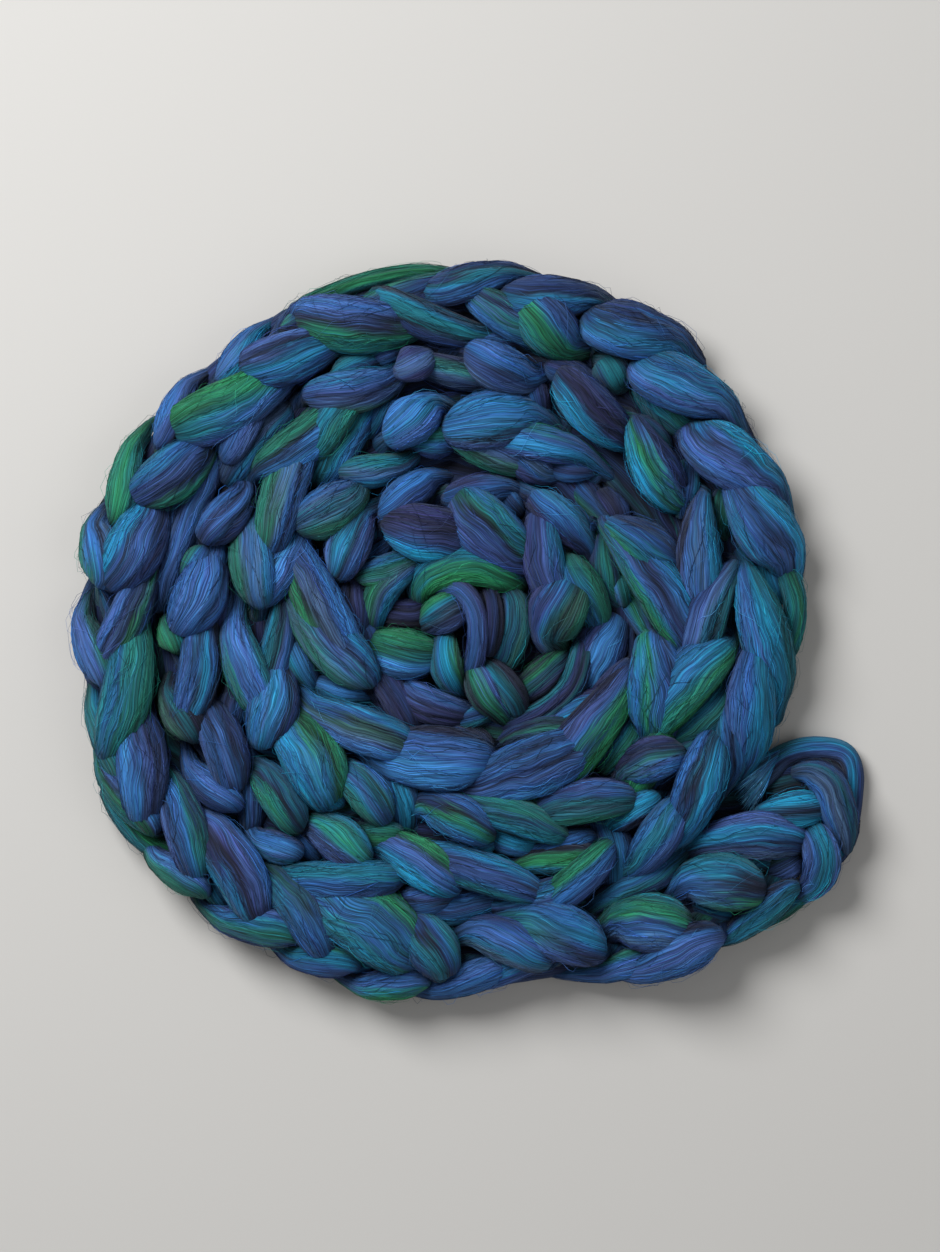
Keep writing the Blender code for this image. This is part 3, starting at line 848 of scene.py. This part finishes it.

# loops drawn one by one: the folded head of the chain and the middle of the coil
# name | points x y z width height ... | dyes
# the low loops dyed only dark (head_i, head_j, head_k, mid_q, mid_r, edge_c, edge_d) are wool filling the gaps under
# and between the turns, their dark colour painted shade
LOOPS = """
head_a | 796 774 7 14 7 | 813 774 13 26 10 | 829 786 18 38 12 | 839 810 19 38 12 | 846 832 16 28 10 | 849 852 9 12 8 | nenyybb
head_b | 828 808 9 24 8 | 814 808 18 34 11 | 794 810 21 38 12 | 776 812 19 28 10 | 760 814 12 14 8 | cctkvcctc
head_c | 806 842 10 28 9 | 790 838 20 38 12 | 764 836 24 50 13 | 736 838 21 46 12 | 708 844 16 34 10 | 684 852 9 20 8 | ynpkbtcbvp
head_d | 808 824 9 22 9 | 818 840 19 34 12 | 823 862 21 38 12 | 817 882 17 32 11 | 803 897 10 18 9 | pccebpp
head_e | 802 856 8 26 8 | 788 864 15 36 10 | 770 872 11 26 8 | ppyG
head_f | 812 896 6 20 6 | 790 894 9 22 8 | 766 898 8 20 7 | bvkv
head_g | 776 862 10 18 8 | 752 862 18 24 10 | 738 876 20 24 10 | 730 892 14 18 8 | ttbk
head_h | 820 882 6 18 6 | 802 897 8 22 8 | 778 912 8 26 8 | 748 926 8 24 7 | gttb
head_i | 700 806 5 34 8 | 734 802 5 40 8 | 768 792 5 40 8 | 800 782 6 36 9 | 826 790 6 30 9 | nkeknk
head_k | 796 772 5 18 8 | 822 767 5 24 9 | 844 780 5 24 9 | 852 806 5 18 8 | knvnk
head_j | 826 806 6 20 8 | 834 824 8 24 9 | 836 846 8 20 9 | 830 864 7 14 8 | nknn
mid_a | 372 636 10 18 8 | 374 612 17 28 10 | 384 586 21 34 11 | 402 570 20 30 11 | 424 556 12 20 8 | gGybt
mid_b | 366 646 10 30 9 | 384 650 22 44 12 | 404 654 25 50 13 | 424 656 21 40 12 | 438 658 12 24 9 | GgGgesbs
mid_c | 420 606 8 20 8 | 422 586 17 32 11 | 440 570 23 40 12 | 470 564 24 42 12 | 500 572 20 38 11 | 524 588 11 22 8 | tetgGGGG
mid_d | 424 626 10 22 8 | 436 618 20 36 11 | 448 611 23 40 12 | 464 602 20 34 11 | 478 592 12 20 8 | GGckykpv
mid_e | 428 594 14 14 8 | 446 586 21 18 9 | 464 592 26 20 9 | 476 612 28 20 9 | 478 640 26 20 9 | 472 668 20 18 8 | 462 690 12 14 7 | vppbp
mid_f | 486 586 14 16 8 | 492 606 23 22 9 | 492 632 24 24 9 | 486 654 18 20 8 | knvk
mid_g | 446 636 12 18 8 | 444 650 21 30 11 | 446 668 23 34 11 | 454 684 18 26 9 | 462 694 11 16 7 | oGctbe
mid_h | 472 664 12 16 8 | 478 680 22 30 11 | 486 696 24 34 11 | 498 710 19 26 9 | 510 724 10 16 7 | ppGgk
mid_i | 482 660 12 16 8 | 498 676 22 26 10 | 512 694 23 30 11 | 520 712 16 22 9 | kkete
mid_j | 570 650 10 20 8 | 556 664 18 32 10 | 540 680 21 36 11 | 522 694 14 24 8 | kvngGk
mid_k | 586 628 12 16 8 | 582 656 22 24 10 | 572 686 23 26 10 | 550 708 21 26 10 | 524 722 17 24 9 | 500 732 10 16 7 | nekvne
mid_l | 392 672 10 18 8 | 404 690 20 30 10 | 424 704 23 36 11 | 450 712 21 32 10 | 476 716 12 20 8 | pbpkvkv
mid_m | 372 610 8 24 8 | 392 614 15 32 9 | 412 616 15 34 9 | 432 612 9 24 8 | vkvkk
mid_n | 356 652 10 20 8 | 366 668 17 28 9 | 380 688 17 30 9 | 398 704 10 20 8 | bnkvn
mid_o | 508 590 11 22 8 | 514 608 19 34 10 | 512 632 20 38 10 | 504 656 16 34 9 | 492 672 10 22 7 | eoenebk
edge_a | 104 786 7 20 8 | 120 812 12 26 10 | 138 834 13 28 10 | 162 852 12 24 10 | 190 866 8 18 8 | gGGee
mid_q | 352 600 7 50 10 | 350 660 7 56 11 | 372 712 7 56 11 | 430 742 7 56 11 | 500 748 7 50 10 | nkvkn
mid_r | 400 590 6 60 10 | 430 640 6 90 11 | 500 660 6 90 11 | 560 640 6 70 10 | nkvkn
edge_e | 280 332 8 12 7 | 300 306 12 17 9 | 336 289 14 18 9 | 378 276 14 18 9 | 420 270 12 16 8 | 456 272 8 12 7 | gGGge
edge_f | 586 914 9 20 8 | 622 892 15 30 11 | 658 874 16 32 11 | 690 848 10 20 8 | ntbeen
edge_c | 540 292 6 24 8 | 580 304 8 34 10 | 616 322 8 34 10 | 652 346 6 24 8 | nknkn
edge_d | 660 352 6 24 8 | 700 388 8 34 10 | 740 440 8 34 10 | 770 500 6 24 8 | nknkn
edge_b | 768 540 8 20 8 | 786 570 15 24 10 | 796 604 17 24 10 | 792 640 14 22 9 | 780 668 8 16 8 | eGeee
mid_p | 440 720 9 24 8 | 470 730 12 34 8 | 504 736 12 34 8 | 536 730 9 24 8 | bvgkn
gap_a | 214 446 13 22 9 | 200 484 18 34 12 | 180 530 18 34 12 | 166 572 18 32 12 | 156 612 13 22 9 | nbpbpkb
gap_b | 312 484 15 36 10 | 328 454 20 52 13 | 350 422 19 44 13 | 372 398 14 26 10 | gteetb
gap_c | 618 616 14 30 10 | 602 642 19 52 13 | 590 674 18 48 12 | 576 698 12 28 9 | nbsbvn
gap_d | 740 672 14 26 9 | 712 712 22 40 12 | 668 746 14 22 9 | tegtte
gap_e | 400 904 13 22 9 | 450 908 19 36 12 | 510 896 13 22 9 | nbbvbt
gap_f | 222 482 13 28 9 | 246 448 20 40 12 | 288 402 15 28 9 | bpyntb
gap_h | 392 772 12 22 9 | 402 800 18 34 12 | 406 832 12 22 9 | btcsb
gap_i | 246 748 12 22 9 | 252 788 18 34 12 | 250 832 12 22 9 | nbpbn
gap_j | 640 708 13 20 9 | 624 742 19 32 12 | 600 772 13 20 9 | tGetn
gap_k | 598 812 12 24 9 | 616 850 17 40 12 | 616 890 12 26 9 | nbtbn
gap_l | 482 834 12 20 9 | 512 842 18 30 12 | 542 850 12 20 9 | btcb
gap_m | 314 682 12 16 8 | 344 692 18 26 11 | 374 695 12 16 8 | bsbt
gap_n | 286 636 12 18 8 | 298 662 19 30 11 | 312 688 12 18 8 | bste
gap_o | 220 534 12 16 8 | 214 560 18 24 11 | 210 584 12 16 8 | bpb
gap_p | 544 464 12 14 8 | 568 471 18 22 10 | 594 470 12 14 8 | bvb
gap_q | 694 908 10 18 8 | 722 914 15 26 10 | 752 918 10 18 8 | btnt
gap_r | 690 460 14 18 8 | 687 488 20 26 11 | 684 518 14 18 8 | tnbe
gap_s | 392 388 12 14 8 | 382 412 18 20 10 | 368 436 12 14 8 | btb
gap_t | 226 582 12 12 8 | 222 610 19 18 10 | 214 640 12 12 8 | bvb
gap_u | 392 540 12 14 8 | 371 560 17 22 10 | 350 580 12 14 8 | bnb
gap_w | 404 346 13 14 8 | 386 354 18 20 10 | 366 360 13 14 8 | bpb
gap_x | 446 724 13 16 8 | 470 718 18 22 10 | 496 710 13 16 8 | tnbe
gap_y | 290 828 12 16 8 | 304 844 17 24 10 | 318 860 12 16 8 | nbb
gap_z | 764 556 10 14 8 | 772 580 15 22 10 | 782 604 10 14 8 | btc
gap_1 | 204 872 10 14 8 | 212 892 14 22 10 | 222 908 10 14 8 | ste
gap_2 | 346 974 8 14 8 | 362 968 13 20 9 | 378 962 8 14 8 | bsb
gap_3 | 616 568 13 14 8 | 621 586 18 20 10 | 626 604 13 14 8 | tgs
gap_4 | 534 376 13 18 8 | 537 394 18 26 10 | 542 412 13 18 8 | vnb
gap_5 | 502 490 13 16 8 | 510 501 18 22 10 | 520 512 13 16 8 | bnb
gap_v | 600 490 11 20 8 | 614 512 15 34 10 | 622 536 11 20 8 | nkvn
head_l | 853 818 5 20 9 | 852 834 6 20 9 | 845 850 8 18 9 | 834 862 11 16 9 | 822 868 14 12 8 | ntcnn
"""


def loop_set(line, index):
    cells = [s.strip() for s in line.split("|")]
    name, dyes = cells[0], cells[-1]
    pts = [[float(v) for v in s.split()] for s in cells[1:-1]]
    r = Route()
    colour, groove = stripes(dyes), furrows(dyes, 900 + index)
    for k, (x, y, z, w, h) in enumerate(pts):
        a = np.array(pts[max(k - 1, 0)][:2])
        b = np.array(pts[min(k + 1, len(pts) - 1)][:2])
        go = unit(b - a)
        across = np.array([-go[1], go[0]])
        fade = 1.0 if 0 < k < len(pts) - 1 else 0.0
        # painted shade: the loop's colour at half brightness at its two end stations
        shade = 1.0 if 0 < k < len(pts) - 1 else 0.5
        r.add(place((x, y), z), UP.copy(), flat(across), w / 2, h / 2 / (PX * 1000), colour * shade,
              groove * fade, 1.0, 5)
    d = rings(r, 0, len(r.c) - 1, cols=40, seed=40 + index)
    # rounded ends
    for end in (0, -1):
        mid = d["pos"][end].mean(0)
        d["pos"][end] = mid + (d["pos"][end] - mid) * 0.45
    d["cells"] = 1
    # gap fills take half of the painted crevice shade
    d["exposed"] = 0.5 if name.startswith("gap") else 1.0
    return name, d


groups_of_loops = {"head": [], "mid": [], "edge": [], "gap": []}
for index, line in enumerate(LOOPS.strip().splitlines()):
    name, d = loop_set(line, index)
    groups_of_loops[name.split("_")[0]].append(d)
for key, label in (("head", "wool_head_turns"), ("mid", "wool_middle_turns"), ("edge", "wool_edge_turns"),
                   ("gap", "wool_inner_turns")):
    sets = groups_of_loops[key]
    nx = 3
    for i, d in enumerate(sets):
        d["cell0"] = i
    planned.append((label, sets, (nx, math.ceil(len(sets) / nx))))
    allrings.extend(sets)

# ---------------------------------------------------------------- painted crevice shade

CELL = 0.0008                 # of the height map that finds them
MAP_X, MAP_Y = -0.20, -0.18
MAP_N, MAP_M = 500, 450


def blur(a, reach):
    """Gaussian blur of a map, reach in cells."""
    k = np.exp(-0.5 * (np.arange(-3 * reach, 3 * reach + 1) / reach) ** 2)
    k /= k.sum()
    a = np.apply_along_axis(lambda v: np.convolve(v, k, "same"), 0, a)
    return np.apply_along_axis(lambda v: np.convolve(v, k, "same"), 1, a)


def crevice_maps(sets):
    top = np.zeros((MAP_M, MAP_N))
    for d in sets:
        pos = d["pos"]
        for t in np.linspace(0, 1, 7)[:-1]:
            p = pos[:-1] * (1 - t) + pos[1:] * t
            for u in (0.0, 0.5):
                q = (p * (1 - u) + np.roll(p, -1, axis=1) * u).reshape(-1, 3)
                i = np.clip(((q[:, 0] - MAP_X) / CELL).astype(int), 0, MAP_N - 1)
                j = np.clip(((q[:, 1] - MAP_Y) / CELL).astype(int), 0, MAP_M - 1)
                np.maximum.at(top, (j, i), q[:, 2])
    return [blur(top, 3), blur(top, 7)]


def shade_crevices(sets, maps, amount=0.52):
    """Painted shade: darken the wool that lies below what is round it, in the crevices and where it tucks under."""
    for d in sets:
        pos = d["pos"]
        x = (pos[..., 0] - MAP_X) / CELL - 0.5
        y = (pos[..., 1] - MAP_Y) / CELL - 0.5
        i = np.clip(np.floor(x).astype(int), 0, MAP_N - 2)
        j = np.clip(np.floor(y).astype(int), 0, MAP_M - 2)
        fx, fy = x - i, y - j
        hidden = 0
        for m, depth in zip(maps, (0.0045, 0.0070)):
            h = ((m[j, i] * (1 - fx) + m[j, i + 1] * fx) * (1 - fy)
                 + (m[j + 1, i] * (1 - fx) + m[j + 1, i + 1] * fx) * fy)
            hidden = hidden + 0.5 * np.clip((h - pos[..., 2] + 0.0004) / depth, 0, 1)
        gain = (1.0 - amount * d.get("exposed", 1.0) * hidden)[..., None]
        d["colour"] = d["colour"] * gain
        d["second"] = d["second"] * gain


maps = crevice_maps(allrings + under)
shade_crevices(allrings + under, maps)
for label, sets, cells in planned:
    obj = grid_mesh(label, sets, cells)
    obj.data.materials.append(WOOL)
    pieces.append(obj)

# ---------------------------------------------------------------- free end

END_D = 0.0095
END_ROUTE = ((853, 830), (856, 800), (856, 772), (845, 753), (814, 749), (788, 757), (768, 772), (750, 790))
END_Z = (4.9, 4.9, 4.9, 4.9, 5.0, 6.2, 8.8, 10.6)
end = Route()
for k, p in enumerate(END_ROUTE):
    a = np.array(END_ROUTE[max(k - 1, 0)], float)
    b = np.array(END_ROUTE[min(k + 1, len(END_ROUTE) - 1)], float)
    go = unit(b - a)
    across = np.array([-go[1], go[0]])
    w = (0.85, 0.95, 1.0, 1.0, 1.05, 1.15, 1.25, 1.10)[k]
    high = (1.0, 1.0, 1.0, 1.0, 1.0, 0.9, 0.8, 0.6)[k]
    end.add(place(p, END_Z[k]), UP.copy(), flat(across), END_D / 2 / PX * w, END_D / 2 / PX * high,
            stripes(("ntcnn", "ntcnn", "kbcbn", "kppbct", "kppbct", "knvbee", "nynben", "ysnyst")[k]),
            furrows("vbct", 77), 1.0, 7)
d = rings(end, 0, len(end.c) - 1, cols=36, seed=5, lower=1.0, lump=0.03, depth=0.0006)
for q, s in ((0, 0.35), (1, 0.8), (-1, 0.3), (-2, 0.7)):
    mid = d["pos"][q].mean(0)
    d["pos"][q] = mid + (d["pos"][q] - mid) * s
loose = grid_mesh("wool_free_end", [d], (1, 1))
loose.data.materials.append(WOOL)

# ---------------------------------------------------------------- fibres

def frayed_tip(name, count, seed):
    """Pale fibres spreading out of the cut end of the roving."""
    rng = np.random.default_rng(seed)
    k = np.linspace(0, 1, 7)[None, :]
    across = rng.uniform(-1, 1, (count, 1))
    reach = rng.uniform(0.45, 1.0, (count, 1))
    x = 778 - 40 * k * reach - 4 * across + 16 * across * k * reach
    y = 761 + 40 * k * reach + 11 * across + 9 * across * k
    x = x + 2.2 * np.sin(k * 3 + rng.uniform(0, 6.28, (count, 1))) * k
    z = 13.6 + 2.6 * k * (1 - 0.7 * k * reach) - 2.2 * across ** 2 + rng.uniform(-0.6, 0.8, (count, 1))
    p = np.stack([(x - CX) * PX, (CY - y) * PX, z * 0.001], axis=2)
    shade = np.array([DYE[c] for c in rng.choice(list("yscbtnb"), count)])[:, None, :] * np.ones((1, 7, 1))
    pale = np.clip(k * 1.6 - 0.2, 0, 1)[..., None] * np.where(rng.random((count, 1, 1)) < 0.48, 0.90, 0.10)
    tone = shade * (1 - 0.7 * pale) + 0.7 * pale * linear((96, 164, 196))
    return thread_mesh(name, p, tone * np.exp(rng.normal(-0.1, 0.45, (count, 1, 1))), rng, (0.07, 0.15))


chain_sets = [q for q in allrings if len(q["run"]) > 200]
loop_sets = [q for q in allrings if len(q["run"]) <= 200]
half = len(chain_sets) // 2
for label, source, n, seed in (("wool_fibres_1", chain_sets[:2], 4700, 11),
                               ("wool_fibres_2", chain_sets[2:4], 4700, 12),
                               ("wool_fibres_3", chain_sets[4:] + loop_sets, 4700, 13)):
    obj = fibre_mesh(label, source, n, seed, reach=(12, 30), thick=(0.08, 0.16), shade=0.36, knots=6,
                     turn=16)
    obj.data.materials.append(THREAD)
    pieces.append(obj)
obj = frayed_tip("wool_frayed_tip", 420, 21)
obj.data.materials.append(THREAD)
pieces.append(obj)
obj = fibre_mesh("wool_stray_fibres", chain_sets + loop_sets, 4600, 14, reach=(8, 26), lift=(0.2, 1.9),
                 thick=(0.045, 0.08), shade=0.3, knots=6, slack=0.9, under=-0.2, bright=1.6, turn=34)
obj.data.materials.append(THREAD)
pieces.append(obj)

# ---------------------------------------------------------------- stage

floor_mesh = bpy.data.meshes.new("floor")
floor_mesh.from_pydata([(-3, -3, 0), (3, -3, 0), (3, 3, 0), (-3, 3, 0)], [], [(0, 1, 2, 3)])
floor = bpy.data.objects.new("floor", floor_mesh)
bpy.context.scene.collection.objects.link(floor)
fm = bpy.data.materials.new("floor_plain")
fm.use_nodes = True
fb = fm.node_tree.nodes["Principled BSDF"]
fb.inputs["Base Color"].default_value = (0.62, 0.61, 0.59, 1)
fb.inputs["Roughness"].default_value = 0.9
fb.inputs["Specular IOR Level"].default_value = 0.1
floor_mesh.materials.append(fm)

for obj in pieces:
    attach(obj, "root")
    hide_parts("roving_coil")
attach(loose, "root")
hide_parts("loose_end")

# ---------------------------------------------------------------- camera, light

scene = bpy.context.scene
scene.view_settings.view_transform = "Standard"
cam = bpy.data.cameras.new("camera")
cam.sensor_fit = "VERTICAL"
cam.sensor_height = 36.0
DIST = 2.0
cam.lens = 36.0 * DIST / (1252 * PX)
cam.clip_end = 20
eye = bpy.data.objects.new("camera", cam)
scene.collection.objects.link(eye)
eye.location = ((470 - CX) * PX, (CY - 626) * PX, DIST + 0.024)
eye.rotation_euler = (0, 0, 0)
scene.camera = eye


def area(name, where, look, size, power, colour=(1, 1, 1)):
    light = bpy.data.lights.new(name, "AREA")
    light.shape = "DISK"
    light.size = size
    light.energy = power
    light.color = colour
    o = bpy.data.objects.new(name, light)
    o.location = where
    v = np.array(look, float) - np.array(where, float)
    import mathutils
    o.rotation_euler = mathutils.Vector(v).to_track_quat("-Z", "Y").to_euler()
    scene.collection.objects.link(o)
    return o


area("key", (-0.72, 0.78, 1.20), (0, 0, 0), 0.95, 27)
area("fill", (0.9, -0.4, 1.3), (0, 0, 0), 1.4, 3)
world = bpy.data.worlds.new("studio")
world.use_nodes = True
world.node_tree.nodes["Background"].inputs[0].default_value = (1, 1, 1, 1)
world.node_tree.nodes["Background"].inputs[1].default_value = 0.21
scene.world = world

print("TRIANGLES", {o.name: sum(len(q.vertices) - 2 for q in o.data.polygons) for o in pieces},
      "total", sum(sum(len(q.vertices) - 2 for q in o.data.polygons) for o in pieces))
